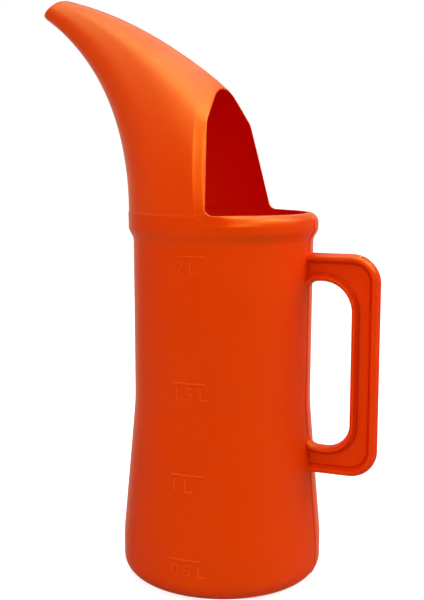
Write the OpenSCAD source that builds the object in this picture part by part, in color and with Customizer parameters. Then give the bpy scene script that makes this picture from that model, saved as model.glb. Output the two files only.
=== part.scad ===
// Blow-moulded two-litre pouring jug: round vessel, collar, hood over an open mouth, spout, strap handle.
// Origin at the centre of the standing ring, +Z up, handle towards +X, spout towards -X.

/* [Vessel] */
// Diameter of the straight band above the heel
base_d = 125; // [114:1:136]
// Height at which the wall starts to narrow
band_h = 27; // [20:1:40]
// Diameter at the waist crease
waist_d = 110.2; // [102:0.2:118]
// Height of the waist crease
waist_h = 111; // [90:1:130]
// Diameter of the neck, just under the collar
neck_d = 111.4; // [104:0.2:116]
// Height of the neck, where the collar starts
neck_h = 211.5; // [190:0.5:240]
// Thickness of the moulded wall
wall = 1.8; // [1.2:0.1:2.6]
// Radius of the heel between floor and wall
heel_r = 12; // [8:1:16]
// Width of the ring that the jug stands on
standing_w = 6; // [4:0.5:9]
// Rise of the domed floor inside the standing ring
floor_rise = 4; // [2:0.5:6]

/* [Graduation lines] */
// Heights of the raised lines, each made if it falls on the side wall
line_heights = [26.3, 76.4, 130.8, 205.1];
// Length of a line round the wall
line_l = 20; // [10:1:30]
// Height of a line's face
line_h = 1; // [0.6:0.1:2]
// How far a line stands out of the wall
line_proud = 0.6; // [0.3:0.1:1]
// Direction of the lines, from the handle round to the near side
line_dir = -89; // [-110:1:-60]

/* [Collar] */
// Diameter of the collar
collar_d = 117.4; // [114:0.2:122]
// Height over which the neck swells into the collar
swell_h = 8; // [5:0.5:12]
// Height of the collar's straight band
collar_h = 3; // [2:0.5:8]

/* [Mouth] */
// Distance from the vessel's axis to the hood's trimmed edge, at collar height
mouth_x = 11.8; // [6:0.2:20]
// Lean of the trimmed edge towards the spout, in degrees
mouth_lean = 8.25; // [0:0.25:14]
// Distance from the trimmed edge back to the root of the lip, on the hood
lip_back = 5.6; // [4:0.2:8]
// Height of the rim's lip above the collar
lip_over = 6; // [4:0.5:8]
// How far the rim's lip turns in from the wall
lip_in = 6; // [3:0.5:7]
// Radius of the mouth's lower corners
mouth_corner_r = 4.5; // [2:0.5:8]
// Half width of the mouth at its shoulders, where the sides turn into the roof
shoulder_w = 36.6; // [33:0.2:40]
// Height of the shoulders above the collar
shoulder_h = 60.3; // [55:0.1:66]
// Height above the collar at which the two slopes of the roof would meet
roof_h = 88.5; // [83:0.5:92]
// Radius of the roof's rounded top
roof_r = 33; // [20:1:40]

/* [Hood and spout] */
// Height of the unbroken hood between the mouth and the spout
hood_top = 8; // [4:1:14]
// Distance from the vessel's axis to the middle of the spout's end
spout_reach = 117.6; // [100:0.2:135]
// Height of the middle of the spout's end above the collar
spout_rise = 133.8; // [120:0.2:150]
// Control height over which the hood leaves the collar straight up
spout_lift = 39.2; // [30:0.2:50]
// Distance from the axis of the bend's control point
bend_x = 44.3; // [36:0.1:54]
// Height of the bend's control point above the collar
bend_z = 104; // [94:1:114]
// Control diameter of the hood above the collar
hood_d = 114.2; // [108:0.2:120]
// Control diameter of the horn's throat
throat_d = 56.2; // [46:0.2:66]
// Diameter of the spout's end
tip_d = 17; // [14:0.5:24]
// Slope of the spout's end, in degrees
tip_tilt = 37.8; // [30:0.2:46]

/* [Handle] */
// Distance from the vessel's axis to the handle's outer face
handle_reach = 99.8; // [92:0.1:110]
// Height of the handle
handle_h = 135; // [120:0.2:150]
// Gap between the collar and the top of the handle
handle_drop = 6.5; // [4:0.5:16]
// Depth of the grip
grip_w = 16.8; // [14:0.2:20]
// Height of the upper arm
upper_arm_h = 16.4; // [14:0.2:22]
// Height of the lower arm
lower_arm_h = 17.4; // [14:0.2:22]
// Thickness of the handle's flanges
handle_t = 10.4; // [8:0.2:16]
// Thickness of the web between the flanges
web_t = 3.4; // [2:0.2:6]
// Width of the outer flange
outer_flange = 3.8; // [3:0.1:6]
// Width of the flange round the finger gap
inner_flange = 3.1; // [2.4:0.1:4]
// Radius of the handle's outer corners
handle_corner_r = 17; // [14:0.5:22]
// Radius of the finger gap's upper outer corner
gap_top_r = 18.5; // [10:0.5:20]
// Radius of the finger gap's lower outer corner
gap_low_r = 14; // [10:0.5:18]
// Radius of the fillets between the arms and the vessel
root_r = 6; // [3:0.5:9]
// Rounding of the flange edges
edge_r = 1.5; // [0.8:0.1:1.6]

/* [Hidden] */
$fn = 96;

moulding_colour = "OrangeRed";
base_r = base_d / 2;
waist_r = waist_d / 2;
neck_r = neck_d / 2;
collar_r = collar_d / 2;
swell_top = neck_h + swell_h;
collar_top = swell_top + collar_h;
standing_out = base_r - heel_r;
standing_in = standing_out - standing_w;
handle_top = neck_h - handle_drop;
handle_low = handle_top - handle_h;
gap_x = handle_reach - grip_w;
gap_top = handle_top - upper_arm_h;
gap_low = handle_low + lower_arm_h;

// Steps in a quarter circle of a profile
arc_steps = 8;
// Steps round the horn, and along its hood and its spout
horn_sides = 40;
hood_rings = 13;
spout_rings = 9;
// Steps along half the mouth: its rim, its lower corner and its arch over the hood
rim_steps = 24;
corner_steps = 5;
arch_steps = 12;
// Steps in the roll of the lip, and in the rounding of a flange edge
roll_steps = 5;
edge_steps = 4;
// Size of a cut that passes right through the jug
far = 400;

// Points of an arc in a profile
function arc(cx, cy, rx, ry, from, to, n = arc_steps) =
    [for (i = [0 : n]) let (a = from + (to - from) * i / n) [cx + rx * cos(a), cy + ry * sin(a)]];
function reversed(list) = [for (i = [len(list) - 1 : -1 : 0]) list[i]];

// Radius of the vessel's outside at a height
function vessel_r(z) =
    z < band_h ? base_r
    : z < waist_h ? base_r + (waist_r - base_r) * (z - band_h) / (waist_h - band_h)
    : waist_r + (neck_r - waist_r) * (z - waist_h) / (neck_h - waist_h);

// Side of the vessel, set in from the outside by an inset
function vessel_side(inset) = [
    [base_r - inset, heel_r],
    [base_r - inset, band_h],
    [waist_r - inset, waist_h],
    [neck_r - inset, neck_h]
];

// Side of the collar, swelling out of the neck in a quarter wave
function collar_side(inset) = concat(
    [for (i = [0 : arc_steps])
        let (u = i / arc_steps)
        [neck_r - inset + (collar_r - neck_r) * sin(90 * u), neck_h + swell_h * u]],
    [[collar_r - inset, collar_top]]
);

// A wall between an outer and an inner side, turned about the axis
module turned_wall(outer, inner) {
    rotate_extrude() polygon(concat(outer, reversed(inner)));
}

// Domed floor profile: a flat arc that meets the standing ring
dome_r = (standing_in * standing_in + floor_rise * floor_rise) / (2 * floor_rise);
dome_half = asin(standing_in / dome_r);
function dome(lift) = arc(0, floor_rise - dome_r + lift, dome_r, dome_r, 90 - dome_half, 90);

module base() {
    heel_out = arc(standing_out, heel_r, heel_r, heel_r, -90, 0);
    heel_in = arc(standing_out, heel_r, heel_r - wall, heel_r - wall, 0, -90);
    color(moulding_colour)
        rotate_extrude()
            polygon(concat(reversed(dome(0)), heel_out, heel_in, dome(wall)));
}

module graduation_line(z) {
    span = line_l / vessel_r(z) * 180 / PI;
    rotate([0, 0, line_dir - span / 2])
        rotate_extrude(angle = span)
            translate([vessel_r(z) - wall / 2, z - line_h / 2])
                square([wall / 2 + line_proud, line_h]);
}

module vessel() {
    color(moulding_colour) {
        turned_wall(vessel_side(0), vessel_side(wall));
        for (z = line_heights)
            if (z - line_h > heel_r && z + line_h < neck_h) graduation_line(z);
    }
}

module collar() {
    color(moulding_colour) turned_wall(collar_side(0), collar_side(wall));
}

// Centre line, radius and slope of the horn's rings, from the collar at 0 to the spout's end at 1
function bezier(t, a, b, c, d) =
    let (u = 1 - t) u * u * u * a + 3 * u * u * t * b + 3 * u * t * t * c + t * t * t * d;
function horn_x(t) = bezier(t, 0, 0, -bend_x, -spout_reach);
function horn_z(t) = collar_top + bezier(t, 0, spout_lift, bend_z, spout_rise);
function horn_r(t, inset) = bezier(t, collar_d, hood_d, throat_d, tip_d) / 2 - inset;
function horn_tilt(t) = tip_tilt * t * t * t;
function horn_skin(t, angle, inset) =
    let (r = horn_r(t, inset), tilt = horn_tilt(t))
    [horn_x(t) + r * cos(angle) * cos(tilt), r * sin(angle), horn_z(t) + r * cos(angle) * sin(tilt)];

// Faces of a closed band: n sections one after another, each a loop of m points
function band_faces(n, m) = [
    for (i = [0 : n - 1], j = [0 : m - 1])
        let (here = i * m, next = ((i + 1) % n) * m, k = (j + 1) % m)
        each [[here + j, here + k, next + k], [here + j, next + k, next + j]]
];

// A length of the horn, all the way round: up the outside and back down the inside
module horn(from, to, rings) {
    steps = [for (k = [0 : rings]) from + (to - from) * k / rings];
    sections = [
        for (i = [0 : horn_sides - 1])
            let (angle = 360 * i / horn_sides)
            concat(
                [for (t = steps) horn_skin(t, angle, 0)],
                [for (t = reversed(steps)) horn_skin(t, angle, wall)]
            )
    ];
    polyhedron(
        points = [for (s = sections) each s],
        faces = band_faces(horn_sides, 2 * rings + 2)
    );
}

// Root line of the mouth's lip, seen from the side: up the leaning edge from a rounded lower corner
lean_run = tan(mouth_lean);
root_corner_r = mouth_corner_r + lip_back;
function edge_x(z) = mouth_x - (z - collar_top) * lean_run;
function root_line_x(z) = edge_x(z) - lip_back;
corner = [
    for (i = [0 : corner_steps])
        let (a = 90 * i / corner_steps, z = collar_top + root_corner_r * (1 - cos(a)))
        [root_line_x(z) + root_corner_r * (1 - sin(a)), z]
];

// Cut of the mouth through the hood, open below so that it passes clean through the hood's foot
module mouth_cut() {
    rotate([90, 0, 0])
        linear_extrude(height = far, center = true)
            polygon(concat(
                [[far, 0], [corner[0][0], 0]],
                corner,
                [[root_line_x(far), far], [far, far]]
            ));
}

// Where the ring at t crosses the root line, as a cosine round the ring
function root_cos(t, inset) =
    (root_line_x(horn_z(t)) - horn_x(t))
    / (horn_r(t, inset) * (cos(horn_tilt(t)) + lean_run * sin(horn_tilt(t))));
// Ring that just touches the root line, by halving
function apex_t(inset, low = 0, high = 1, n = 30) =
    let (mid = (low + high) / 2)
    n == 0 ? mid
    : root_cos(mid, inset) < 1 ? apex_t(inset, mid, high, n - 1)
    : apex_t(inset, low, mid, n - 1);
// Ring whose centre is at a height, by halving
function ring_at(z, low = 0, high = 0.5, n = 30) =
    let (mid = (low + high) / 2)
    n == 0 ? mid
    : horn_z(mid) < z ? ring_at(z, mid, high, n - 1)
    : ring_at(z, low, mid, n - 1);

corner_top_t = ring_at(collar_top + root_corner_r);
apex_out = apex_t(0);
apex_in = apex_t(wall);
hood_end = ring_at(horn_z(apex_out) + hood_top, apex_out, 1);

module hood() {
    color(moulding_colour)
        difference() {
            horn(0, hood_end, hood_rings);
            mouth_cut();
        }
}

module spout() {
    color(moulding_colour) horn(hood_end, 1, spout_rings);
}

// Points of the root line on the skin, from the rim's middle round the far half to the apex
function rim_root(inset) =
    let (r = collar_r - inset, end = acos(corner[0][0] / r))
    [for (i = [0 : rim_steps]) let (a = end * i / rim_steps) [r * cos(a), r * sin(a), collar_top]];
function corner_root(inset) = [
    for (i = [1 : corner_steps])
        let (t = ring_at(corner[i][1]), c = (corner[i][0] - horn_x(t)) / horn_r(t, inset))
        horn_skin(t, acos(c), inset)
];
function arch_root(inset, apex) = [
    for (i = [1 : arch_steps])
        let (s = sin(90 * i / arch_steps), t = corner_top_t + (apex - corner_top_t) * s)
        horn_skin(t, acos(min(1, root_cos(t, inset))), inset)
];
function half_root(inset, apex) = concat(rim_root(inset), corner_root(inset), arch_root(inset, apex));
function mirrored_back(half) = [for (i = [len(half) - 2 : -1 : 1]) [half[i][0], -half[i][1], half[i][2]]];
function whole_root(inset, apex) = let (half = half_root(inset, apex)) concat(half, mirrored_back(half));

// Trimmed edge of the lip: level round the rim, then up the hood in straight sides and a rounded roof
lip_level = collar_top + lip_over;
// Next to the hood the rim's lip hardly turns in
corner_in = wall / 4;
corner_edge_r = collar_r - corner_in;
corner_y = sqrt(pow(corner_edge_r, 2) - pow(edge_x(lip_level), 2));
side_slope = (corner_y - shoulder_w) / (shoulder_h - lip_over);
roof_slant = norm([shoulder_w, roof_h - shoulder_h]);
roof_mid = collar_top + roof_h - roof_r * roof_slant / shoulder_w;
roof_start = roof_mid + roof_r * shoulder_w / roof_slant;
function edge_y(z) =
    z < collar_top + shoulder_h ? corner_y - side_slope * (z - lip_level)
    : z < roof_start ? shoulder_w * (collar_top + roof_h - z) / (roof_h - shoulder_h)
    : sqrt(max(0, pow(roof_r, 2) - pow(z - roof_mid, 2)));

// Points of the trimmed edge, one for each point of the root line
rim_edge = [
    for (i = [0 : rim_steps])
        let (
            u = i / rim_steps,
            a = acos((edge_x(lip_level) + mouth_corner_r) / corner_edge_r) * u,
            r = corner_edge_r - (lip_in - corner_in) * cos(90 * u)
        )
        [r * cos(a), r * sin(a), lip_level]
];
corner_edge = [
    for (i = [1 : corner_steps])
        let (
            a = 90 * i / corner_steps,
            z = lip_level + mouth_corner_r * (1 - cos(a)),
            x = edge_x(z) + mouth_corner_r * (1 - sin(a))
        )
        [x, sqrt(pow(corner_edge_r, 2) - x * x) - side_slope * (z - lip_level), z]
];
arch_edge = [
    for (p = arch_root(0, apex_out))
        let (
            from = collar_top + root_corner_r,
            share = (p[2] - from) / (horn_skin(apex_out, 0, 0)[2] - from),
            low = lip_level + mouth_corner_r,
            z = low + (roof_mid + roof_r - low) * share
        )
        [edge_x(z), edge_y(z), z]
];
half_edge = concat(rim_edge, corner_edge, arch_edge);
whole_edge = concat(half_edge, mirrored_back(half_edge));

function unit(v) = v / norm(v);

// Slope of the trimmed face: how far its inner edge lies further in and lower, in wall thicknesses
trim_in = 0.8;
trim_down = 0.5;

// A curve that leaves a wall straight on and turns in to an end point, at a share of its way
roll_turn = 80;
function roll(from, to, over, share) =
    let (a = roll_turn * share, rise = over * ((to - from) * over))
    from + rise * sin(a) / sin(roll_turn) + (to - from - rise) * (1 - cos(a)) / (1 - cos(roll_turn));

module mouth_lip() {
    outer = whole_root(0, apex_out);
    inner = whole_root(wall, apex_in);
    count = len(outer);
    sections = [
        for (i = [0 : count - 1])
            let (
                along = unit(outer[(i + 1) % count] - outer[(i + count - 1) % count]),
                through = outer[i] - inner[i],
                over = unit(cross(through, along)),
                out = unit(cross(along, over)),
                inner_edge = whole_edge[i] - wall * (trim_in * out + trim_down * over)
            )
            concat(
                [for (k = [0 : roll_steps]) roll(outer[i], whole_edge[i], over, k / roll_steps)],
                [for (k = [roll_steps : -1 : 1]) roll(inner[i], inner_edge, over, k / roll_steps)],
                [inner[i]]
            )
    ];
    color(moulding_colour)
        polyhedron(
            points = [for (s = sections) each s],
            faces = band_faces(count, 2 * roll_steps + 2)
        );
}

// Flange section from x = 0 inwards, its long edges rounded as far as its width allows
module flange_section(w) {
    r = min(edge_r, 0.45 * w);
    out = handle_t / 2 - 2 * r;
    polygon(concat(
        arc(-r, out, r, 2 * r, 0, 90, edge_steps),
        arc(-w + r, out, r, 2 * r, 90, 180, edge_steps),
        arc(-w + r, -out, r, 2 * r, 180, 270, edge_steps),
        arc(-r, -out, r, 2 * r, 270, 360, edge_steps)
    ));
}

// Flange along an arm and round its corner, with the arm's edge at height z
module arm_flange(reach, z, r, w, up) {
    translate([0, 0, z])
        mirror([0, 0, up < 0 ? 1 : 0]) {
            rotate([90, 0, 90])
                linear_extrude(height = reach - r) rotate([0, 0, 90]) flange_section(w);
            translate([reach - r, 0, -r])
                rotate([90, 0, 0])
                    rotate_extrude(angle = 90) translate([r, 0]) flange_section(w);
        }
}

// Flange bent into a U: out along the low arm, up the grip and back along the top arm
module bent_flange(reach, low, top, low_r, top_r, w) {
    arm_flange(reach, low, low_r, w, -1);
    arm_flange(reach, top, top_r, w, 1);
    translate([reach, 0, low + low_r])
        linear_extrude(height = top - low - low_r - top_r) flange_section(w);
}

// Outline of a U from the axis outwards, with round outer corners
module u_outline(reach, low, top, low_r, top_r) {
    middle = (low + top) / 2;
    translate([0, low]) square([reach - low_r, middle - low]);
    translate([0, middle]) square([reach - top_r, top - middle]);
    translate([0, low + low_r]) square([reach, top - low - low_r - top_r]);
    translate([reach - low_r, low + low_r]) circle(low_r);
    translate([reach - top_r, top - top_r]) circle(top_r);
}

// Fillet between an arm and the vessel, at a corner of the finger gap, rooted in the arm's flange
module root_fillet(z, up) {
    r = vessel_r(z + up * root_r);
    depth = inner_flange / 2;
    translate([0, 0, z])
        mirror([0, 0, up < 0 ? 1 : 0])
            rotate([90, 0, 0])
                linear_extrude(height = handle_t - 2 * edge_r, center = true)
                    difference() {
                        translate([0, -depth]) square([r + root_r, root_r + depth]);
                        translate([r + root_r, root_r]) circle(root_r);
                    }
}

module handle() {
    web_x = gap_x + inner_flange;
    web_low = gap_low - inner_flange;
    web_top = gap_top + inner_flange;
    web_low_r = gap_low_r + inner_flange;
    web_top_r = gap_top_r + inner_flange;
    corner_r = handle_corner_r;
    color(moulding_colour)
        difference() {
            union() {
                bent_flange(handle_reach, handle_low, handle_top, corner_r, corner_r, outer_flange);
                bent_flange(web_x, web_low, web_top, web_low_r, web_top_r, inner_flange);
                rotate([90, 0, 0])
                    linear_extrude(height = web_t, center = true)
                        difference() {
                            u_outline(handle_reach - edge_r, handle_low + edge_r,
                                handle_top - edge_r, corner_r - edge_r, corner_r - edge_r);
                            u_outline(gap_x + edge_r, gap_low - edge_r,
                                gap_top + edge_r, gap_low_r + edge_r, gap_top_r + edge_r);
                        }
                root_fillet(gap_low, 1);
                root_fillet(gap_top, -1);
            }
            rotate_extrude() polygon(concat([[0, heel_r]], vessel_side(0), [[0, neck_h]]));
        }
}

base();
vessel();
collar();
mouth_lip();
hood();
spout();
handle();
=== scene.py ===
import bpy
import bmesh
from math import acos, asin, cos, pi, radians, sin, sqrt, tan
from mathutils import Matrix, Vector


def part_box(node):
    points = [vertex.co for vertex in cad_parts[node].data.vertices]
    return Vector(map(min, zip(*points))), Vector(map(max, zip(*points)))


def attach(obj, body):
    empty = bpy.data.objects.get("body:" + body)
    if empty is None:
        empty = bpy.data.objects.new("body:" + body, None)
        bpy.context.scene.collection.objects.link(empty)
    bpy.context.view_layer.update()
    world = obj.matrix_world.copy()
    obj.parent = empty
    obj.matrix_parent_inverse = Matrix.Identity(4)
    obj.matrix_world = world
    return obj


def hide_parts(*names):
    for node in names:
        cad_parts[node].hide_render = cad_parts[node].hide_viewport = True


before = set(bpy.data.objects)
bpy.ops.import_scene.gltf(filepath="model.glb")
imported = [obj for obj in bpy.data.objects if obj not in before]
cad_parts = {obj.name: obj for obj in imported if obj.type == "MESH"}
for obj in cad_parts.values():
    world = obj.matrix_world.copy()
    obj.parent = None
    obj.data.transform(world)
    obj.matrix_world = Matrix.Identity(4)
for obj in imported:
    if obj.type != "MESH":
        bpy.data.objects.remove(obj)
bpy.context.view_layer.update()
mm = 0.001
weldGap = 0.002 * mm  # points closer than this become one


# Small mesh helpers

def lerp(a, b, share):
    return a + (b - a) * share


def smoothStep(share):
    share = min(1.0, max(0.0, share))
    return share * share * (3 - 2 * share)


def bezier(t, a, b, c, d):
    u = 1 - t
    return u * u * u * a + 3 * u * u * t * b + 3 * u * t * t * c + t * t * t * d


def quarterTurn(steps):
    # angles from 0 to 90 degrees
    return [pi / 2 * step / steps for step in range(steps + 1)]


def halving(test, low, high, rounds=40):
    # last value between low and high at which the test still holds
    for _ in range(rounds):
        mid = (low + high) / 2
        low, high = (mid, high) if test(mid) else (low, mid)
    return low


def roundedPath(points, radii, steps=10):
    # a polyline whose inner corners are replaced by arcs
    path = [points[0]]
    for before, corner, after, radius in zip(points, points[1:], points[2:], radii):
        toBefore = (before - corner).normalized()
        toAfter = (after - corner).normalized()
        half = toBefore.angle(toAfter) / 2
        start = corner + toBefore * radius / tan(half)
        end = corner + toAfter * radius / tan(half)
        centre = corner + (toBefore + toAfter).normalized() * radius / sin(half)
        for step in range(steps + 1):
            path.append(centre + (start - centre).slerp(end - centre, step / steps) * radius)
    path.append(points[-1])
    return path


def closeEnds(path):
    # one more point just inside each end, so that pieces that meet there are shaded alike
    share = 0.06
    first, last = lerp(path[0], path[1], share), lerp(path[-1], path[-2], share)
    return [path[0], first] + path[1:-1] + [last, path[-1]]


def gridFaces(rows, width, closedAlong, closedAcross):
    faces = []
    for i in range(rows if closedAlong else rows - 1):
        here, there = i * width, (i + 1) % rows * width
        for j in range(width if closedAcross else width - 1):
            k = (j + 1) % width
            faces.append((here + j, here + k, there + k, there + j))
    return faces


def endCaps(rows, width):
    # the two faces that close the ends of a bar
    count = rows * width
    return [tuple(range(width)), tuple(range(count - width, count))[::-1]]


def makePiece(name, points, faces, skins, innerFaces=(), cutFaces=(), sharp=35):
    # a welded, smooth-shaded mesh that rides on the jug;
    # faces of the inside take the second skin, and trimmed faces the third
    mesh = bpy.data.meshes.new(name)
    mesh.from_pydata(points, [], faces)
    for skin in skins:
        mesh.materials.append(skin)
    for slot, chosen in ((1, innerFaces), (2, cutFaces)):
        for index in chosen:
            mesh.polygons[index].material_index = slot
    bm = bmesh.new()
    bm.from_mesh(mesh)
    bmesh.ops.remove_doubles(bm, verts=bm.verts, dist=weldGap)
    bmesh.ops.recalc_face_normals(bm, faces=bm.faces)
    for face in bm.faces:
        face.smooth = True
    bm.to_mesh(mesh)
    bm.free()
    mesh.set_sharp_from_angle(angle=radians(sharp))
    piece = bpy.data.objects.new(name, mesh)
    bpy.context.scene.collection.objects.link(piece)
    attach(piece, "root")
    print("made", name, len(mesh.polygons), "faces")
    return piece


# Camera, at the place and turn that the outlines in the photo give

view = {
    "azimuth": radians(21.8),  # round from -Y towards +X
    "distance": 644.7 * mm,
    "height": 257.5 * mm,
    "pitch": radians(7.43),
    "yaw": radians(-0.62),
    "roll": radians(0.195),
    "focalPixels": 1037.6,
    "imageHeight": 600,
    "sensor": 36.0,
    "clipStart": 10 * mm,
}


def makeCamera():
    right = Vector((cos(view["azimuth"]), sin(view["azimuth"]), 0))
    away = Vector((-sin(view["azimuth"]), cos(view["azimuth"]), 0))
    up = Vector((0, 0, 1))
    level = right * sin(view["yaw"]) + away * cos(view["yaw"])
    forward = level * cos(view["pitch"]) - up * sin(view["pitch"])
    side = right * cos(view["yaw"]) - away * sin(view["yaw"])
    top = side.cross(forward)
    rolledSide = side * cos(view["roll"]) + top * sin(view["roll"])
    rolledTop = top * cos(view["roll"]) - side * sin(view["roll"])
    place = up * view["height"] - away * view["distance"]
    data = bpy.data.cameras.new("photoCamera")
    data.sensor_fit = "VERTICAL"
    data.sensor_height = view["sensor"]
    data.lens = view["focalPixels"] * view["sensor"] / view["imageHeight"]
    data.clip_start = view["clipStart"]
    camera = bpy.data.objects.new("photoCamera", data)
    turn = Matrix((rolledSide, rolledTop, -forward)).transposed()
    camera.matrix_world = Matrix.Translation(place) @ turn.to_4x4()
    bpy.context.scene.collection.objects.link(camera)
    bpy.context.scene.camera = camera
    print("camera at", [round(c, 3) for c in place])


makeCamera()


# Materials

def linear(hexColour):
    # sRGB hex to linear RGBA
    channels = [int(hexColour[i:i + 2], 16) / 255 for i in (1, 3, 5)]
    return tuple(c / 12.92 if c <= 0.04045 else ((c + 0.055) / 1.055) ** 2.4 for c in channels) + (1.0,)


def addNode(tree, kind, inputs=None, **settings):
    # one node: its properties, and for each socket a value or the output that feeds it
    node = tree.nodes.new(kind)
    for key, value in settings.items():
        setattr(node, key, value)
    for socket, source in (inputs or {}).items():
        if isinstance(source, bpy.types.NodeSocket):
            tree.links.new(source, node.inputs[socket])
        else:
            node.inputs[socket].default_value = source
    return node


def newMaterial(name):
    # an empty material, and the place on the piece that its textures start from
    material = bpy.data.materials.new(name)
    material.use_nodes = True
    tree = material.node_tree
    tree.nodes.clear()
    return material, tree, addNode(tree, "ShaderNodeTexCoord").outputs["Object"]


# the sockets of a colour mix go by number, because they share their names with other sockets
mixA, mixB, mixed = 6, 7, 2

# High-density polyethylene, blow-moulded against a sandblasted mould: satin, coloured right through,
# with slow drifts of tone where the parison stretched and a fine even grain
hdpe = {
    "thick": "#EB3A00",  # where the wall is thick
    "thin": "#E33500",  # where it stretched thin
    "pinched": ("#E62C00", "#F03200"),  # the handle's walls are welded into one, which takes up more light
    "highlitMarks": ("#EA3D02", "#F1460A"),  # raised marks painted paler: a painted highlight on their relief
    "crease": "#B20000",  # painted shade: deep red where light bounces about in a hollow
    "hollowShade": (0.495, 0.46),  # pointiness at which that painted shade starts, and at which it is full
    # how deep that painted shade goes
    "creased": 0.95,
    "wornAndSheen": "#EE5012",  # edges paler from use, and partly a painted highlight along them
    "edge": (0.515, 0.55),  # pointiness at which an edge starts to pale, and at which it is palest
    # how far edges take that paler tone, wear and painted highlight together
    "wearAndSheen": 0.7,
    "cut": "#FF6A28",  # faces trimmed with a knife: paler, and partly a painted highlight along the trimmed edge
    "paintedLightTone": "#FF5E0C",  # painted light: paler where light would come through the thin wall
    "hoodPaintedLight": (0.12, 5.2 * mm, 5.8 * mm),  # painted light on the hood above its ledge: how much, and from and to which height above the collar
    # painted light up the lip's sides, the same way
    "lipPaintedLight": (0.42, 6 * mm, 18 * mm),
    "noPaintedLight": (0.0, 0.0, 1 * mm),
    "inside": "#C60300",  # painted light and shade: the inside is a darker, redder copy of the plastic, for the light that has been through the orange wall
    "insideDrift": (0.9, 1.1),
    # colour of that painted glow
    "glow": "#FF0400",
    "through": 0.12,  # painted glow, though the wall is no lamp: how strongly it glows with that light
    "ior": 1.53,
    "gloss": "#FFEB50",  # head-on reflections take up the strong pigment, grazing ones stay white
    "roughness": (0.36, 0.44),  # in the low and the high places of the grain
    "grainSpread": (0.3, 0.7),
    "insideRoughness": 0.5,
    "cutRoughness": 0.6,
    "drift": 60 * mm,  # size of the tone drifts
    "grain": 0.9 * mm,  # blasted grain, drawn coarser than the real 0.1 mm so that it shows
    "grainDepth": 0.012 * mm,
    "drag": 1.5 * mm,  # marks of the blade on trimmed faces
    "ripple": 22 * mm,  # slow unevenness of the blown wall
    "rippleDepth": 0.05 * mm,
}


def hdpeTone(tree, place, thin, thick, wearAndSheen, paintedLightBand):
    # drifts between two tones, then painted shade in hollows, paler edges with a painted highlight, and
    # painted light where the wall is thinnest
    cloud = {"Vector": place, "Scale": 1 / hdpe["drift"], "Detail": 2.0}
    drift = addNode(tree, "ShaderNodeTexNoise", cloud).outputs["Fac"]
    tones = {"Factor": drift, mixA: linear(thin), mixB: linear(thick)}
    tone = addNode(tree, "ShaderNodeMix", tones, data_type="RGBA").outputs[mixed]
    bent = addNode(tree, "ShaderNodeNewGeometry").outputs["Pointiness"]
    height = addNode(tree, "ShaderNodeSeparateXYZ", {"Vector": place}).outputs["Z"]
    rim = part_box("collar")[1].z
    through, low, high = paintedLightBand
    layers = (
        (bent, hdpe["hollowShade"], hdpe["creased"], hdpe["crease"]),
        (bent, hdpe["edge"], wearAndSheen, hdpe["wornAndSheen"]),
        (height, (rim + low, rim + high), through, hdpe["paintedLightTone"]),
    )
    for measure, (start, end), most, colour in layers:
        spread = {"Value": measure, "From Min": start, "From Max": end, "To Max": most}
        amount = addNode(tree, "ShaderNodeMapRange", spread).outputs["Result"]
        tones = {"Factor": amount, mixA: tone, mixB: linear(colour)}
        tone = addNode(tree, "ShaderNodeMix", tones, data_type="RGBA").outputs[mixed]
    return tone


def blownWaves(tree, place):
    # slow unevenness of the blown wall
    cloud = {"Vector": place, "Scale": 1 / hdpe["ripple"], "Detail": 1.0}
    ripple = addNode(tree, "ShaderNodeTexNoise", cloud).outputs["Fac"]
    waves = {"Height": ripple, "Strength": 1.0, "Distance": hdpe["rippleDepth"]}
    return addNode(tree, "ShaderNodeBump", waves).outputs["Normal"]


def finishHdpe(tree, inputs):
    # the plastic itself, with what one of its skins has of its own
    common = {"IOR": hdpe["ior"], "Specular Tint": linear(hdpe["gloss"])}
    skin = addNode(tree, "ShaderNodeBsdfPrincipled", {**common, **inputs})
    addNode(tree, "ShaderNodeOutputMaterial", {"Surface": skin.outputs["BSDF"]})


def mouldedHdpe(name, thin, thick, wearAndSheen=hdpe["wearAndSheen"], paintedLightBand=hdpe["noPaintedLight"]):
    # the skin that lay against the mould
    material, tree, place = newMaterial(name)
    cloud = {"Vector": place, "Scale": 1 / hdpe["grain"], "Detail": 3.0}
    grain = addNode(tree, "ShaderNodeTexNoise", cloud).outputs["Fac"]
    start, end = hdpe["grainSpread"]
    low, high = hdpe["roughness"]
    spread = {"Value": grain, "From Min": start, "From Max": end, "To Min": low, "To Max": high}
    satin = addNode(tree, "ShaderNodeMapRange", spread).outputs["Result"]
    waves = blownWaves(tree, place)
    relief = {"Height": grain, "Normal": waves, "Strength": 1.0, "Distance": hdpe["grainDepth"]}
    bump = addNode(tree, "ShaderNodeBump", relief).outputs["Normal"]
    tone = hdpeTone(tree, place, thin, thick, wearAndSheen, paintedLightBand)
    finishHdpe(tree, {"Base Color": tone, "Roughness": satin, "Normal": bump})
    return material


def innerHdpe():
    # the same wall from inside: smooth, never touched by the mould, with a painted glow and painted shade
    # for the light through the wall
    material, tree, place = newMaterial("paintedGlowHdpeInside")
    cloud = {"Vector": place, "Scale": 1 / hdpe["drift"], "Detail": 2.0}
    drift = addNode(tree, "ShaderNodeTexNoise", cloud).outputs["Fac"]
    low, high = hdpe["insideDrift"]
    spread = {"Value": drift, "To Min": low, "To Max": high}
    shade = addNode(tree, "ShaderNodeMapRange", spread).outputs["Result"]
    tone = addNode(tree, "ShaderNodeHueSaturation", {"Value": shade, "Color": linear(hdpe["inside"])})
    finishHdpe(tree, {
        "Base Color": tone.outputs["Color"],
        "Normal": blownWaves(tree, place),
        "Roughness": hdpe["insideRoughness"],
        "Emission Color": linear(hdpe["glow"]),
        "Emission Strength": hdpe["through"],
    })
    return material


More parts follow.
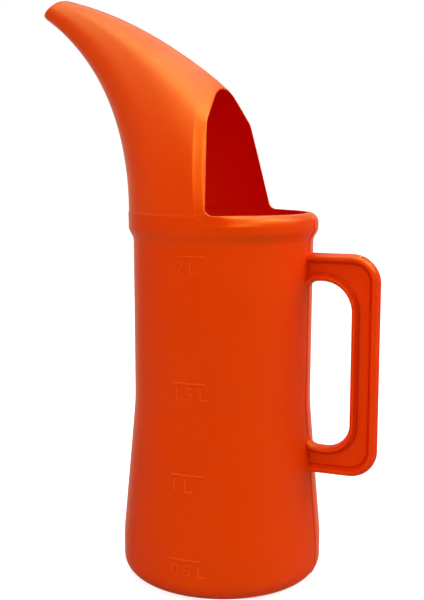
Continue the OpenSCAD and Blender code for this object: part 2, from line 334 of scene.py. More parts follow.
def trimmedHdpe():
    # freshly cut edge: paler than the skin, partly a painted highlight, with the fine drag marks of the
    # blade
    material, tree, place = newMaterial("trimmedHdpe")
    cloud = {"Vector": place, "Scale": 1 / hdpe["drag"], "Detail": 2.0}
    drag = addNode(tree, "ShaderNodeTexNoise", cloud).outputs["Fac"]
    tones = {"Factor": drag, mixA: linear(hdpe["thick"]), mixB: linear(hdpe["cut"])}
    tone = addNode(tree, "ShaderNodeMix", tones, data_type="RGBA").outputs[mixed]
    relief = {"Height": drag, "Strength": 1.0, "Distance": hdpe["rippleDepth"]}
    bump = addNode(tree, "ShaderNodeBump", relief).outputs["Normal"]
    finishHdpe(tree, {"Base Color": tone, "Normal": bump, "Roughness": hdpe["cutRoughness"]})
    return material


wallTones = (hdpe["thin"], hdpe["thick"])
skins = [mouldedHdpe("mouldedHdpe", *wallTones, wearAndSheen=0.0), innerHdpe(), trimmedHdpe()]
# painted light: the hood paler above its ledge, and the lip paler up its sides
hornSkins = [mouldedHdpe("paintedLightHdpe", *wallTones, 0.0, hdpe["hoodPaintedLight"])] + skins[1:]
lipSkins = [mouldedHdpe("rolledHdpe", *wallTones, paintedLightBand=hdpe["lipPaintedLight"])] + skins[1:]
pinchedSkin = mouldedHdpe("pinchedHdpe", *hdpe["pinched"])
# level marks, painted paler as a highlight on their relief
highlitMarkSkin = mouldedHdpe("highlitMarkHdpe", *hdpe["highlitMarks"])
print("materials ready")


# Mould seam: the mould's halves meet at Y = 0, and leave a fine raised line there

seam = {
    "height": 0.55 * mm,
    "halfAngle": radians(0.9),
    "columns": (0.3, 0.6, 1.0),  # columns beside the line, as shares of its half width
}
roundSteps = 144  # columns round the turned walls


def seamRise(angle):
    # 1 on the seam at 0 and 180 degrees, 0 away from it
    away = abs(sin(angle)) / seam["halfAngle"]
    return max(0.0, 1 - away * away) ** 2


def roundAngles():
    angles = {2 * pi * step / roundSteps for step in range(roundSteps)}
    for share in seam["columns"]:
        for middle in (0, pi):
            for side in (-1, 1):
                angles.add((middle + side * share * seam["halfAngle"]) % (2 * pi))
    return sorted(angles)


# Vessel, base and collar: turned walls, with sizes that the frame gives where it holds them

wall = 1.8 * mm
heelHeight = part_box("vessel")[0].z
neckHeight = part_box("vessel")[1].z
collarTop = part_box("collar")[1].z
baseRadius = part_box("base")[1].y
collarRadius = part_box("collar")[1].y

vessel = {
    "bandTop": 27 * mm,
    "bandBlend": 60 * mm,
    "waistRadius": 55.1 * mm,
    "waistHeight": 111 * mm,
    "waistBlend": 160 * mm,
    "neckRadius": 55.7 * mm,
    "blendSteps": 12,
}
foot = {
    "standingWidth": 6 * mm,
    "floorRise": 4 * mm,
    "ringEdge": 6 * mm,
    "ringSteps": 4,
    "heelSteps": 20,
    "domeSteps": 12,
}
collar = {"swellHeight": 8 * mm, "sharpness": 1.6, "steps": 20}


def vesselRadius(height):
    if height < vessel["bandTop"]:
        return baseRadius
    if height < vessel["waistHeight"]:
        share = (height - vessel["bandTop"]) / (vessel["waistHeight"] - vessel["bandTop"])
        return lerp(baseRadius, vessel["waistRadius"], share)
    share = (height - vessel["waistHeight"]) / (neckHeight - vessel["waistHeight"])
    return lerp(vessel["waistRadius"], vessel["neckRadius"], share)


def inset(profile, depth):
    # the profile moved to its left, which is inwards on a wall that is listed upwards
    moved = []
    for i, point in enumerate(profile):
        along = profile[min(i + 1, len(profile) - 1)] - profile[max(i - 1, 0)]
        moved.append(point + Vector((-along.y, along.x)).normalized() * depth)
    return moved


def turnedShell(name, outer, inner, closedProfile=True):
    # outer and inner both run upwards; the shell closes over its top, and below too if the profile is closed
    angles = roundAngles()
    outer, inner = closeEnds(outer), closeEnds(inner)
    ridged = inset(outer, -seam["height"])
    points = []
    for point, ridge in zip(outer, ridged):
        strength = min(1.0, point.y / heelHeight)  # the seam dies out under the heel
        for angle in angles:
            r, z = lerp(point, ridge, seamRise(angle) * strength)
            points.append((r * cos(angle), r * sin(angle), z))
    for r, z in reversed(inner):
        points.extend((r * cos(angle), r * sin(angle), z) for angle in angles)
    rows, width = len(outer) + len(inner), len(angles)
    faces = gridFaces(rows, width, closedProfile, True)
    inside = range(len(outer) * width, (rows - 1) * width)
    return makePiece(name, points, faces, skins, inside)


def makeBase():
    middle = baseRadius - heelHeight
    ringInside = middle - foot["standingWidth"]
    rise = foot["floorRise"]
    domeRadius = (ringInside ** 2 + rise ** 2) / (2 * rise)
    spread = asin(ringInside / domeRadius)
    dome = []
    for step in range(foot["domeSteps"] + 1):
        angle = spread * step / foot["domeSteps"]
        dome.append(Vector((domeRadius * sin(angle), rise - domeRadius * (1 - cos(angle)))))
    ring = roundedPath([dome[-2], dome[-1], Vector((middle, 0))], [foot["ringEdge"]], foot["ringSteps"])
    heel = []
    for angle in quarterTurn(foot["heelSteps"])[1:]:
        heel.append(Vector((middle + heelHeight * sin(angle), heelHeight * (1 - cos(angle)))))
    outer = dome[:-2] + ring + heel
    inner = inset(outer, wall)
    inner[0] = Vector((0, rise + wall))
    base = turnedShell("jugBase", outer, inner, False)
    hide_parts("base")


def makeVessel():
    corners = [
        Vector((baseRadius, heelHeight)),
        Vector((baseRadius, vessel["bandTop"])),
        Vector((vessel["waistRadius"], vessel["waistHeight"])),
        Vector((vessel["neckRadius"], neckHeight)),
    ]
    outer = roundedPath(corners, [vessel["bandBlend"], vessel["waistBlend"]], vessel["blendSteps"])
    inner = [Vector((point.x - wall, point.y)) for point in outer]
    body = turnedShell("jugVessel", outer, inner)
    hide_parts("vessel")


def makeCollar():
    outer = []
    for step in range(collar["steps"] + 1):
        share = step / collar["steps"]
        swell = sin(pi / 2 * share ** collar["sharpness"])
        radius = lerp(vessel["neckRadius"], collarRadius, swell)
        outer.append(Vector((radius, neckHeight + collar["swellHeight"] * share)))
    outer.append(Vector((collarRadius, collarTop)))
    inner = [Vector((point.x - wall, point.y)) for point in outer]
    band = turnedShell("jugCollar", outer, inner)
    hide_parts("collar")


makeBase()
makeVessel()
makeCollar()


# Horn: hood and spout on one bent, tapering tube, with the mouth left open in the hood

horn = {
    "reach": 117.6 * mm,  # where the centre line ends
    "rise": 133.8 * mm,
    "lift": 39.2 * mm,  # how far it first goes straight up
    "bendX": 44.3 * mm,  # the point that bends it outwards
    "bendZ": 104 * mm,
    "hoodDiameter": 114.2 * mm,
    "throatDiameter": 56.2 * mm,
    "tipDiameter": 17 * mm,
    "tipTilt": radians(37.8),
    "ledgeHeight": 5.4 * mm,  # a fine ledge round the hood, just above the collar
    "ledgeDepth": 0.3 * mm,
    "ledgeWidth": 1.5 * mm,
    "columns": 144,
    "cornerRows": 14,
    "ledgeRows": 4,
    "hoodRows": 60,
    "apexRows": 6,
    "spoutRows": 40,
}
mouth = {
    "edgeX": 11.8 * mm,  # where the trimmed plane of the hood stands at the collar's top
    "lean": tan(radians(8.25)),
    "rootBack": 5.6 * mm,  # from that plane back to the root of the lip
    "rootCorner": 10 * mm,
    "lipOver": 6 * mm,  # how far the rim's lip rises above the collar
    "rimIn": 4.5 * mm,  # how far it turns in
    "cornerIn": 0.4 * mm,  # and how far it does at the lower corners
    "corner": 5 * mm,
    "besideCorner": Vector((12, -3, 0)) * mm,  # from the lower corner along the edge of the rim
    "rimWidens": 2 / 9,  # over this share of the rim, next to the corner, its edge swings outwards
    "shoulder": Vector((3.8, 36.6, 60.3)) * mm,  # where the trim turns to the roof, above the collar's top
    "shoulderRadius": (7 * mm, 18 * mm),  # on the far and the near side: the knife left them unlike
    "peak": Vector((-1.7, 0, 88.5)) * mm,  # where the two roof lines would meet
    "roofRadius": 27 * mm,
    "rimCut": 2.4 * mm,  # width of the trimmed face on the rim
    "hoodCut": (0.4 * mm, 1.2 * mm),  # and on the hood's far and near side
    "cutBlend": 20 * mm,  # over this much of the roof the one passes into the other
    "scrapedAndHighlit": 2,  # steps of the roll beside the trimmed face that take its paler colour: scraped by the knife, and a painted highlight
    "softEdge": 0.25 * mm,  # rounding of the trimmed edges
    "hoodTop": 8 * mm,  # how far the hood goes on above the mouth
    "rimSteps": 60,
    "bendSteps": 24,
    "rollSteps": 20,
    "rollAngle": 78,  # degrees
    "sharp": 50,
    "crease": ((0, 0), (0.06, 42), (0.3, 28), (0.55, 22), (1, 78)),  # share of the roll, and its slope there
    "creaseFade": (25 * mm, 48 * mm),  # the crease dies out along the rim, and the roll is even there
}
rootCorner = mouth["rootCorner"]


def hornX(t):
    return bezier(t, 0, 0, -horn["bendX"], -horn["reach"])


def hornZ(t):
    return collarTop + bezier(t, 0, horn["lift"], horn["bendZ"], horn["rise"])


def hornRadius(t):
    hood, throat, tip = horn["hoodDiameter"], horn["throatDiameter"], horn["tipDiameter"]
    radius = bezier(t, 2 * collarRadius, hood, throat, tip) / 2
    climb = hornZ(t) - collarTop
    flare = horn["ledgeDepth"] * min(1.0, climb / horn["ledgeHeight"])
    return radius + flare * (1 - smoothStep((climb - horn["ledgeHeight"]) / horn["ledgeWidth"]))


def hornTilt(t):
    return horn["tipTilt"] * t ** 3


def hornSkin(t, angle, depth=0.0):
    radius, tilt = hornRadius(t) - depth, hornTilt(t)
    across = radius * cos(angle)
    return Vector((hornX(t) + across * cos(tilt), radius * sin(angle), hornZ(t) + across * sin(tilt)))


def rootX(z):
    # line where the lip leaves the hood, seen from the side
    return mouth["edgeX"] - mouth["rootBack"] - (z - collarTop) * mouth["lean"]


def rootCosine(t):
    # where the ring at t crosses that line, as a cosine round the ring
    z = hornZ(t)
    line = rootX(z)
    climb = z - collarTop
    if climb < rootCorner:
        line += rootCorner - sqrt(rootCorner ** 2 - (rootCorner - climb) ** 2)
    tilt = hornTilt(t)
    return (line - hornX(t)) / (hornRadius(t) * (cos(tilt) + mouth["lean"] * sin(tilt)))


def rootAngle(t):
    return acos(min(1.0, rootCosine(t)))


def ringAt(z):
    return halving(lambda t: hornZ(t) < z, 0.0, 1.0)


apex = halving(lambda t: rootCosine(t) < 1, 0.1, 1.0)
hoodEnd = ringAt(hornZ(apex) + mouth["hoodTop"])
cornerTop = ringAt(collarTop + rootCorner)
ledgeRing = ringAt(collarTop + horn["ledgeHeight"])
ledgeEnd = ringAt(collarTop + horn["ledgeHeight"] + horn["ledgeWidth"])


def archRings():
    # rings from the collar to the apex, close together at the ledge, in the lower corner and near the apex
    turns = quarterTurn(horn["cornerRows"])
    cornerRings = [ringAt(collarTop + rootCorner * (1 - cos(turn))) for turn in turns]
    ledgeRings = [lerp(ledgeRing, ledgeEnd, i / horn["ledgeRows"]) for i in range(horn["ledgeRows"] + 1)]
    upperRings = [lerp(cornerTop, apex, sin(turn)) for turn in quarterTurn(horn["hoodRows"])[1:]]
    return sorted(cornerRings + ledgeRings + upperRings)


def hoodColumns():
    # shares round the ring from one side of the mouth to the other, close together at the seam
    shares = {i / horn["columns"] for i in range(horn["columns"] + 1)}
    for share in seam["columns"]:
        offset = share * seam["halfAngle"] / (2 * pi)
        shares.update((offset, 1 - offset, 0.5 - offset, 0.5 + offset))
    return sorted(shares)


def hornShell(name, rings, mouthOpen):
    # rows are rings, outside upwards and inside back down;
    # the mouth is the gap between the first column and the last
    shares = hoodColumns()
    rings = closeEnds(rings)
    points = []
    for depth, order in ((0.0, rings), (wall, rings[::-1])):
        for t in order:
            start = rootAngle(t) if mouthOpen else 0.0
            for share in shares:
                angle = start + (2 * pi - 2 * start) * share
                besideMouth = start > seam["halfAngle"] and share in (0, 1)
                rise = 0.0 if depth or besideMouth else seamRise(angle)
                points.append(hornSkin(t, angle, depth - rise * seam["height"]))
    rows, width = 2 * len(rings), len(shares)
    faces = gridFaces(rows, width, True, False)
    inside = range(len(rings) * (width - 1), (rows - 1) * (width - 1))
    if mouthOpen:
        # walls of the gap, along the root of the lip
        count = len([t for t in rings if t < apex])
        last = width - 1
        for i in range(count):
            low, high = i * width, (i + 1) * width
            lowIn, highIn = (rows - 1 - i) * width, (rows - 2 - i) * width
            faces.append((low, high, highIn, lowIn))
            faces.append((low + last, lowIn + last, highIn + last, high + last))
    return makePiece(name, points, faces, hornSkins, inside)


def makeHood():
    above = [lerp(apex, hoodEnd, (i + 1) / horn["apexRows"]) for i in range(horn["apexRows"])]
    hood = hornShell("jugHood", archRings() + above, True)
    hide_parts("hood")


def makeSpout():
    rings = [lerp(hoodEnd, 1.0, i / horn["spoutRows"]) for i in range(horn["spoutRows"] + 1)]
    spout = hornShell("jugSpout", rings, False)
    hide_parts("spout")


makeHood()
makeSpout()


# Lip: the wall rolls inwards all round the mouth and is trimmed, level on the rim and leaning on the hood

def rootParts():
    # root of the lip on the far side, outside and inside the wall, in three parts:
    # along the rim, round the lower corner and up to the apex
    end = acos(rootCosine(0.0))
    angles = [end * i / mouth["rimSteps"] for i in range(mouth["rimSteps"] + 1)]
    angles += [share * seam["halfAngle"] for share in seam["columns"]]
    rim = []
    for angle in sorted(angles):
        way = Vector((cos(angle), sin(angle), 0))
        top = Vector((0, 0, collarTop))
        rim.append((top + way * collarRadius, top + way * (collarRadius - wall)))
    rings = archRings()
    upright = [(hornSkin(t, rootAngle(t)), hornSkin(t, rootAngle(t), wall)) for t in rings]
    bend = len([t for t in rings if t <= cornerTop])
    return [rim, upright[:bend], upright[bend - 1:]]


def edgeParts(shoulderRadius):
    # trimmed edge of the lip on the far side, in the same three parts
    level = collarTop + mouth["lipOver"]
    cornerX = mouth["edgeX"] - mouth["lipOver"] * mouth["lean"]
    cornerY = sqrt((collarRadius - mouth["cornerIn"]) ** 2 - cornerX ** 2)
    corner = Vector((cornerX, cornerY, level))
    beside = corner + mouth["besideCorner"]
    shoulder = mouth["shoulder"] + Vector((0, 0, collarTop))
    peak = mouth["peak"] + Vector((0, 0, collarTop))
    beyond = Vector((shoulder.x, -shoulder.y, shoulder.z))
    steps = mouth["bendSteps"]
    lower = roundedPath([beside, corner, shoulder], [mouth["corner"]], steps)
    upper = roundedPath([corner, shoulder, peak, beyond], [shoulderRadius, mouth["roofRadius"]], steps)
    bend = lower[1:steps + 2]
    arch = [bend[-1]] + upper[1:steps + 3 + steps // 2]  # as far as the middle of the roof
    endRadius = Vector((bend[0].x, bend[0].y)).length
    end = acos(bend[0].x / endRadius)
    rim = []
    for i in range(mouth["rimSteps"] + 1):
        share = i / mouth["rimSteps"]
        angle = end * share
        swing = smoothStep(1 - (1 - share) / mouth["rimWidens"])
        radius = lerp(collarRadius - mouth["rimIn"], endRadius, swing)
        rim.append(Vector((radius * cos(angle), radius * sin(angle), level)))
    return [rim, bend, arch]


def lengthShares(path):
    # how far along the path each of its points lies, from 0 to 1
    lengths = [0.0]
    for before, after in zip(path, path[1:]):
        lengths.append(lengths[-1] + (after - before).length)
    return [length / lengths[-1] for length in lengths]


def pointAlong(path, shares, share):
    roundOff = 1e-9
    i = max(k for k in range(len(path) - 1) if shares[k] <= share + roundOff)
    return lerp(path[i], path[i + 1], (share - shares[i]) / (shares[i + 1] - shares[i]))


def lipStations():
    # outside root, inside root and edge of the lip,
    # from the rim's middle along the far side to the apex and back along the near side
    halves = []
    for shoulderRadius in mouth["shoulderRadius"]:
        half = []
        for root, edge in zip(rootParts(), edgeParts(shoulderRadius)):
            edgeShares = lengthShares(edge)
            shares = lengthShares([outside for outside, _ in root])
            part = [pair + (pointAlong(edge, edgeShares, share),) for pair, share in zip(root, shares)]
            half += part[1:] if half else part
        halves.append(half)
    far, near = halves
    mirror = Matrix.Scale(-1, 3, (0, 1, 0))
    return far + [tuple(mirror @ point for point in station) for station in near[-2:0:-1]]


def wallNormal(point):
    # the way out of the wall at the root of the lip
    if point.z <= collarTop + weldGap:
        return Vector((point.x, point.y, 0)).normalized()
    t = halving(lambda s: hornSkin(s, rootAngle(s)).z < point.z, 0.0, apex)
    angle = rootAngle(t) if point.y >= 0 else -rootAngle(t)
    step = 0.001
    along = hornSkin(t + step, angle) - hornSkin(t, angle)
    around = hornSkin(t, angle + step) - hornSkin(t, angle - step)
    return around.cross(along).normalized()


def rollShares(creased):
    # shares of the rise and of the turn inwards at each step of the roll
    steps, rises, turns = mouth["rollSteps"], [0.0], [0.0]
    for step in range(steps):
        share = (step + 0.5) / steps
        low, high = next(pair for pair in zip(mouth["crease"], mouth["crease"][1:]) if share <= pair[1][0])
        sharp = lerp(low[1], high[1], (share - low[0]) / (high[0] - low[0]))
        slope = radians(lerp(mouth["rollAngle"] * share, sharp, creased))
        rises.append(rises[-1] + cos(slope))
        turns.append(turns[-1] + sin(slope))
    return [(rise / rises[-1], turn / turns[-1]) for rise, turn in zip(rises, turns)]


def lipSection(root, innerRoot, edge, along):
    # outside of the roll, the trimmed face, and the inside of the roll back down to the wall
    out = wallNormal(root)
    over = out.cross(along).normalized()
    onHood = smoothStep((edge.z - collarTop - mouth["lipOver"]) / mouth["corner"])
    farCut, nearCut = mouth["hoodCut"]
    hoodCut = lerp(nearCut, farCut, smoothStep(0.5 + root.y / mouth["cutBlend"]))
    innerEdge = edge - out * lerp(mouth["rimCut"], hoodCut, onHood)
    fadeFrom, fadeTo = mouth["creaseFade"]
    shares = rollShares(1 - smoothStep((root.x - fadeFrom) / (fadeTo - fadeFrom)))
    ridge = seam["height"] * max(0.0, 1 - (root.y / (seam["halfAngle"] * collarRadius)) ** 2) ** 2

    def roll(start, end, rise, turn):
        straight = over * (end - start).dot(over)
        return start + straight * rise + (end - start - straight) * turn

    section = []
    for rise, turn in shares:
        section.append(roll(root, edge, rise, turn) + out.lerp(over, turn) * ridge)
    face = innerEdge - edge
    soft = face.normalized() * min(mouth["softEdge"], face.length / 3)
    bulge = over * mouth["softEdge"] / 3  # a third, so that the face stays nearly flat
    section += [edge + soft + bulge, innerEdge - soft + bulge]
    for rise, turn in reversed(shares):
        section.append(roll(innerRoot, innerEdge, rise, turn))
    return section


def makeLip():
    stations = lipStations()
    count = len(stations)
    points = []
    for i, (root, innerRoot, edge) in enumerate(stations):
        along = stations[(i + 1) % count][0] - stations[i - 1][0]
        section = lipSection(root, innerRoot, edge, along)
        points += section
    width = len(section)
    faces = gridFaces(count, width, True, True)
    lastCut = mouth["rollSteps"] + 2  # after the two softened edges
    # the paler trimmed colour also covers these steps of the roll, as a painted highlight
    firstCut = mouth["rollSteps"] - mouth["scrapedAndHighlit"]
    cutFaces = [i for i in range(len(faces)) if firstCut <= i % width <= lastCut]
    inside = [i for i in range(len(faces)) if i % width > lastCut]
    lip = makePiece("mouthLip", points, faces, lipSkins, inside, cutFaces, mouth["sharp"])
    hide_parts("mouth_lip")


makeLip()


# Handle: a bent strap with a raised flange along both edges and a thin web between them

strap = {
    "reach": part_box("handle")[1].x,
    "top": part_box("handle")[1].z,
    "low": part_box("handle")[0].z,
    "gripWidth": 16.8 * mm,
    "upperArm": 16.4 * mm,
    "lowerArm": 17.4 * mm,
    "halfThick": 5.2 * mm,
    "halfWeb": 1.7 * mm,
    "outerFlange": 3.8 * mm,
    "innerFlange": 3.1 * mm,
    "corner": 17 * mm,
    "gapTopCorner": 18.5 * mm,
    "gapLowCorner": 14 * mm,
    "root": 7 * mm,
    "lipEdge": 0.8 * mm,  # rounding at the top of the recess
    "draft": 1.2 * mm,  # slope of the recess walls
    "floorFillet": 1.0 * mm,
    "seam": 0.35 * mm,  # height of the pinch line round its edge
    "seamSide": (0.8, 0.2 * mm),  # share of that height that is left, and how far beside the line
    "sunk": 0.9 * mm,  # how deep the ends sit in the vessel's wall
    "rootSunk": 0.3 * mm,  # and the fillets beside the finger gap
    "straightSteps": 10,
    "cornerSteps": 24,
    "rootSteps": 8,
    "flangeSteps": 10,
    "edgeSteps": 4,
    "sharp": 60,
}


def strapOutline(reach, low, top, lowCorner, topCorner, rootRadius, bodyTop, bodyLow):
    # stations down a bent outline from the upper arm's root to the lower arm's, each a point and its way out
    stations = []

    def bend(centre, radius, start, end, steps):
        for step in range(steps):
            angle = lerp(start, end, step / steps)
            way = Vector((cos(angle), sin(angle)))
            stations.append((centre + way * radius, way))

    def run(start, end, way, steps):
        for step in range(steps):
            stations.append((lerp(start, end, step / steps), way))

    up, down, out = Vector((0, 1)), Vector((0, -1)), Vector((1, 0))
    root, rootSteps = strap["root"], strap["rootSteps"]
    straightSteps, cornerSteps = strap["straightSteps"], strap["cornerSteps"]
    topStart, lowStart = bodyTop + root, bodyLow + root
    if rootRadius:
        bend(Vector((topStart, top - rootRadius)), rootRadius, pi, pi / 2, rootSteps)
    else:
        run(Vector((bodyTop, top)), Vector((topStart, top)), up, rootSteps)
    run(Vector((topStart, top)), Vector((reach - topCorner, top)), up, straightSteps)
    bend(Vector((reach - topCorner, top - topCorner)), topCorner, pi / 2, 0, cornerSteps)
    run(Vector((reach, top - topCorner)), Vector((reach, low + lowCorner)), out, straightSteps)
    bend(Vector((reach - lowCorner, low + lowCorner)), lowCorner, 0, -pi / 2, cornerSteps)
    run(Vector((reach - lowCorner, low)), Vector((lowStart, low)), down, straightSteps)
    if rootRadius:
        bend(Vector((lowStart, low + rootRadius)), rootRadius, -pi / 2, -pi, rootSteps + 1)
    else:
        run(Vector((lowStart, low)), Vector((bodyLow, low)), down, rootSteps + 1)
    return stations


def flangeSection(width):
    # half a flange from its middle plane to the web: depth from the edge, and distance from the middle plane
    half, lip = strap["halfThick"], strap["lipEdge"]
    fillet, web, draft = strap["floorFillet"], strap["halfWeb"], strap["draft"]
    crest = width - lip
    left, beside = strap["seamSide"]
    section = [(-strap["seam"], 0.0), (-left * strap["seam"], beside)]
    for angle in quarterTurn(strap["flangeSteps"])[1:]:
        section.append((crest * (1 - cos(angle)), half * sin(angle)))
    for angle in quarterTurn(strap["edgeSteps"])[1:]:
        section.append((crest + lip * sin(angle), half - lip + lip * cos(angle)))
    for angle in quarterTurn(strap["edgeSteps"]):
        section.append((width + draft + fillet * (1 - cos(angle)), web + fillet * (1 - sin(angle))))
    section.append((width + draft + 2 * fillet, web))
    return section


def makeHandle():
    gapX = strap["reach"] - strap["gripWidth"]
    gapTop = strap["top"] - strap["upperArm"]
    gapLow = strap["low"] + strap["lowerArm"]
    sunk, corner = strap["sunk"], strap["corner"]
    rootTop = vesselRadius(gapTop) - strap["rootSunk"]
    rootLow = vesselRadius(gapLow) - strap["rootSunk"]
    outer = strapOutline(
        strap["reach"], strap["low"], strap["top"], corner, corner, 0, rootTop - sunk, rootLow - sunk)
    inner = strapOutline(
        gapX, gapLow, gapTop, strap["gapLowCorner"], strap["gapTopCorner"], strap["root"], rootTop, rootLow)
    outerSection = flangeSection(strap["outerFlange"])
    innerSection = flangeSection(strap["innerFlange"])
    width = 2 * (len(outerSection) + len(innerSection)) - 2
    points = []
    for (outPoint, outWay), (inPoint, inWay) in zip(outer, inner):
        half = [(outPoint - outWay * depth, y) for depth, y in outerSection]
        half += [(inPoint + inWay * depth, y) for depth, y in reversed(innerSection)]
        loop = half + [(point, -y) for point, y in half[-2:0:-1]]
        for point, y in loop:
            inWall = vesselRadius(point.y) - sunk
            points.append((max(point.x, inWall), y, point.y))
    faces = gridFaces(len(outer), width, False, True) + endCaps(len(outer), width)
    handle = makePiece("strapHandle", points, faces, [pinchedSkin], sharp=strap["sharp"])
    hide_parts("handle")


makeHandle()


# Level marks: a raised line with its number below, at each half litre

marks = {
    "levels": ((205.1 * mm, "2 L"), (130.8 * mm, "1.5 L"), (76.4 * mm, "1 L"), (26.3 * mm, "0.5 L")),
    "direction": radians(-89),
    "length": 20 * mm,
    "height": 0.9 * mm,
    "proud": 0.6 * mm,
    "sunk": 0.5 * mm,
    "section": ((0.5, 0.0), (0.42, 0.6), (0.25, 0.92), (0.0, 1.0)),  # half of it: shares of height and proud
    "lineSteps": 24,
    "endRise": 0.2,  # how proud its ends are, as a share
    "lineSharp": 50,
    "letterHeight": 7.6 * mm,
    "letterDrop": 2.6 * mm,
    "letterStart": 1.5 * mm,
    "letterProud": 0.55 * mm,
    "letterBevel": 0.035,  # rounding of the strokes, as a share of the type size
    "letterThin": -0.03,  # and how far the outline is drawn in to make room for it
    "letterDepth": 0.02,
    "bevelSteps": 3,
    "curveSteps": 5,
    "letterSharp": 60,
}


def onVessel(along, height, proud):
    # a point on the vessel's outside, along the wall from the start of a level line
    radius = vesselRadius(height)
    angle = marks["direction"] + (along - marks["length"] / 2) / radius
    return ((radius + proud) * cos(angle), (radius + proud) * sin(angle), height)


def makeLevelLine(name, level):
    rising = [(-marks["height"] / 2, -marks["sunk"])]
    rising += [(-share * marks["height"], rise * marks["proud"]) for share, rise in marks["section"]]
    section = rising + [(-offset, proud) for offset, proud in reversed(rising[:-1])]
    steps, width = marks["lineSteps"], len(section)
    points = []
    for step in range(steps + 1):
        fade = 1.0 if 0 < step < steps else marks["endRise"]
        for offset, proud in section:
            rise = proud * fade if proud > 0 else proud
            points.append(onVessel(marks["length"] * step / steps, level + offset, rise))
    faces = gridFaces(steps + 1, width, False, True) + endCaps(steps + 1, width)
    line = makePiece(name, points, faces, [highlitMarkSkin], sharp=marks["lineSharp"])
    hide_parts("vessel")


def makeLevelNumber(name, level, words):
    # flat lettering with bevelled faces, wrapped round the vessel
    curve = bpy.data.curves.new(name + "Text", "FONT")
    curve.body = words
    curve.extrude = marks["letterDepth"]
    curve.offset = marks["letterThin"]
    curve.bevel_depth = marks["letterBevel"]
    curve.bevel_resolution = marks["bevelSteps"]
    curve.resolution_u = marks["curveSteps"]
    text = bpy.data.objects.new(name + "Text", curve)
    bpy.context.scene.collection.objects.link(text)
    bpy.context.view_layer.update()
    flat = text.to_mesh()
    corners = [v.co.copy() for v in flat.vertices]
    faces = [tuple(p.vertices) for p in flat.polygons]
    bpy.data.objects.remove(text)
    low, high = min(c.y for c in corners), max(c.y for c in corners)
    left, front = min(c.x for c in corners), max(c.z for c in corners)
    scale = marks["letterHeight"] / (high - low)
    top = level - marks["letterDrop"]
    points = []
    for c in corners:
        along = marks["letterStart"] + (c.x - left) * scale
        rise = c.z / front * marks["letterProud"]
        points.append(onVessel(along, top - (high - c.y) * scale, rise))
    number = makePiece(name, points, faces, [highlitMarkSkin], sharp=marks["letterSharp"])
    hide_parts("vessel")


for index, (level, words) in enumerate(marks["levels"]):
    makeLevelLine("levelLine%d" % (index + 1), level)
    makeLevelNumber("levelNumber%d" % (index + 1), level, words)


# Stage: a white floor that keeps the shadow, soft lamps and white surroundings

studio = {
    "floorSize": 60.0,  # metres
    "floor": "#D4D4D4",
    "fibre": 2.5 * mm,  # texture of the paper, drawn coarser than real fibres so that it shows
    "fibreDepth": 0.2 * mm,
    "fibreStrength": 0.1,
    "floorGlow": (0.75, 1.0),  # paper lit from behind, as the camera sees it, under the jug and further out
    "sweep": (0.1, 0.9),  # metres from the jug's axis between which it brightens
    "paper": "#FFF1DA",  # warm white of the paper as the jug mirrors it
    "strip": "#FFFBD6",  # warm white of the strip lamps
    "tent": 0.145,  # even light from the white tent round the jug
    "backdrop": 0.92,  # what the sides of the jug mirror: white behind it
    "room": 0.13,  # and a dark opening round the camera
    "backdropEdge": (0.68, 0.9),  # the one passes into the other here, as cosines from straight behind
}
lamps = (
    # name, degrees round from the camera towards its right, degrees up, distance, width, height, watts,
    # and what kind of reflection leaves the lamp out;
    # the fills shine through polarisers that leave no gloss, and the strips only draw the highlights
    ("frontTopFill", 0, 55, 1.2, 1.0, 1.0, 4.0, "glossy"),
    ("rightFill", 58, 22, 1.5, 0.9, 1.2, 3.7, "glossy"),
    ("leftFill", -60, 22, 1.5, 0.9, 1.2, 8.7, "glossy"),
    ("frontFill", 0, 4, 1.0, 0.6, 0.6, 1.6, "glossy"),
    ("sideFill", 90, 35, 1.4, 0.8, 1.0, 12.8, "glossy"),
    ("backFill", -170, 25, 1.5, 1.0, 1.2, 5.0, "glossy"),
    ("frontStrip", 0, 60, 1.2, 0.8, 0.4, 2.3, "diffuse"),
    ("topStrip", 0, 90, 1.2, 1.0, 0.4, 8.2, "diffuse"),
    ("backStrip", 180, 58, 1.2, 1.0, 0.8, 3.8, "diffuse"),
    ("ridgeStrip", 90, 75, 1.2, 0.6, 0.6, 3.0, "diffuse"),
    ("sideStrip", 90, 45, 1.2, 0.6, 0.6, 10.4, "diffuse"),
    ("rightBackStrip", 135, 60, 1.2, 0.6, 0.6, 2.3, "diffuse"),
    ("rightStrip", 50, 48, 1.3, 0.5, 0.5, 5.7, "diffuse"),
    ("leftStrip", -90, 50, 1.2, 0.6, 0.6, 3.3, "diffuse"),
    ("leftBackStrip", -120, 40, 1.3, 0.6, 0.6, 5.3, "diffuse"),
)
lampAim = Vector((0, 0, 200)) * mm  # all lamps look at this point


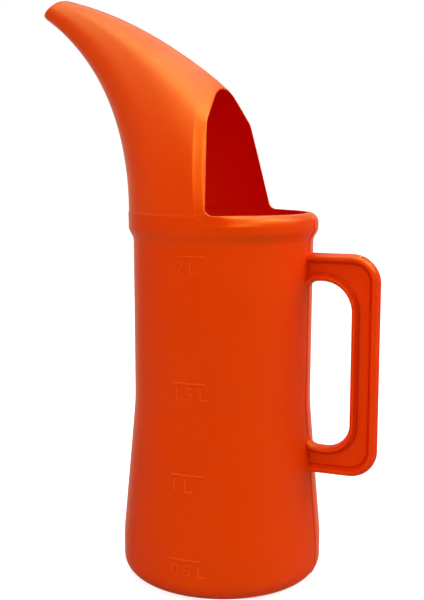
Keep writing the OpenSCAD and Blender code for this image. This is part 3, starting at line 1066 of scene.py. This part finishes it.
def makeFloor():
    material, tree, place = newMaterial("whitePaperSweep")  # matt seamless paper, evenly lit
    cloud = {"Vector": place, "Scale": 1 / studio["fibre"], "Detail": 2.0}
    fibre = addNode(tree, "ShaderNodeTexNoise", cloud).outputs["Fac"]
    relief = {"Height": fibre, "Strength": studio["fibreStrength"], "Distance": studio["fibreDepth"]}
    bump = addNode(tree, "ShaderNodeBump", relief).outputs["Normal"]
    paper = addNode(tree, "ShaderNodeBsdfDiffuse", {"Normal": bump, "Color": linear(studio["floor"])})
    apart = addNode(tree, "ShaderNodeVectorMath", {"Vector": place}, operation="LENGTH").outputs["Value"]
    start, end = studio["sweep"]
    near, far = studio["floorGlow"]
    spread = {"Value": apart, "From Min": start, "From Max": end, "To Min": near, "To Max": far}
    level = addNode(tree, "ShaderNodeMapRange", spread).outputs["Result"]
    glow = addNode(tree, "ShaderNodeEmission", {"Strength": level}).outputs["Emission"]
    dark = addNode(tree, "ShaderNodeEmission", {"Strength": 0.0}).outputs["Emission"]
    seen = addNode(tree, "ShaderNodeLightPath").outputs["Is Camera Ray"]
    lit = addNode(tree, "ShaderNodeMixShader", {"Fac": seen, 1: dark, 2: glow}).outputs["Shader"]
    both = addNode(tree, "ShaderNodeAddShader", {0: paper.outputs["BSDF"], 1: lit})
    addNode(tree, "ShaderNodeOutputMaterial", {"Surface": both.outputs["Shader"]})
    half = studio["floorSize"] / 2
    mesh = bpy.data.meshes.new("floor")
    corners = [(-half, -half, 0), (half, -half, 0), (half, half, 0), (-half, half, 0)]
    mesh.from_pydata(corners, [], [(0, 1, 2, 3)])
    mesh.materials.append(material)
    floor = bpy.data.objects.new("floor", mesh)
    floor.visible_glossy = False
    bpy.context.scene.collection.objects.link(floor)


def makeLamps():
    for name, turn, climb, distance, width, height, watts, unseenBy in lamps:
        data = bpy.data.lights.new(name, "AREA")
        data.shape = "RECTANGLE"
        data.size, data.size_y = width, height
        data.energy = watts
        if unseenBy == "diffuse":
            data.color = linear(studio["strip"])[:3]
        data.cycles.use_multiple_importance_sampling = False
        lamp = bpy.data.objects.new(name, data)
        setattr(lamp, "visible_" + unseenBy, False)
        azimuth, elevation = view["azimuth"] + radians(turn), radians(climb)
        way = Vector((sin(azimuth) * cos(elevation), -cos(azimuth) * cos(elevation), sin(elevation)))
        lamp.location = lampAim + way * distance
        lamp.rotation_euler = (-way).to_track_quat("-Z", "Y").to_euler()
        bpy.context.scene.collection.objects.link(lamp)


def makeSurroundings():
    # a white backdrop behind the jug and a dark room on the camera's side
    world = bpy.data.worlds.new("studioRoom")
    bpy.context.scene.world = world
    world.use_nodes = True
    world.cycles.sampling_method = "NONE"
    tree = world.node_tree
    tree.nodes.clear()
    away = (-sin(view["azimuth"]), cos(view["azimuth"]), 0)
    sky = addNode(tree, "ShaderNodeTexCoord").outputs["Generated"]
    behind = addNode(tree, "ShaderNodeVectorMath", {0: sky, 1: away}, operation="DOT_PRODUCT")
    start, end = studio["backdropEdge"]
    spread = {
        "Value": behind.outputs["Value"],
        "From Min": start,
        "From Max": end,
        "To Min": studio["room"],
        "To Max": studio["backdrop"],
    }
    around = addNode(tree, "ShaderNodeMapRange", spread, interpolation_type="SMOOTHSTEP").outputs["Result"]
    rays = addNode(tree, "ShaderNodeLightPath")
    levels = {"Factor": rays.outputs["Is Glossy Ray"], "A": studio["tent"], "B": around}
    strength = addNode(tree, "ShaderNodeMix", levels, data_type="FLOAT").outputs["Result"]
    lit = addNode(tree, "ShaderNodeBackground", {"Strength": strength, "Color": linear(studio["paper"])})
    seen = addNode(tree, "ShaderNodeBackground", {"Color": (1, 1, 1, 1)})
    backgrounds = {1: lit.outputs["Background"], 2: seen.outputs["Background"]}
    room = addNode(tree, "ShaderNodeMixShader", {"Fac": rays.outputs["Is Camera Ray"], **backgrounds})
    addNode(tree, "ShaderNodeOutputWorld", {"Surface": room.outputs["Shader"]})


makeFloor()
makeLamps()
makeSurroundings()
bpy.context.scene.view_settings.view_transform = "Standard"
print("stage ready")
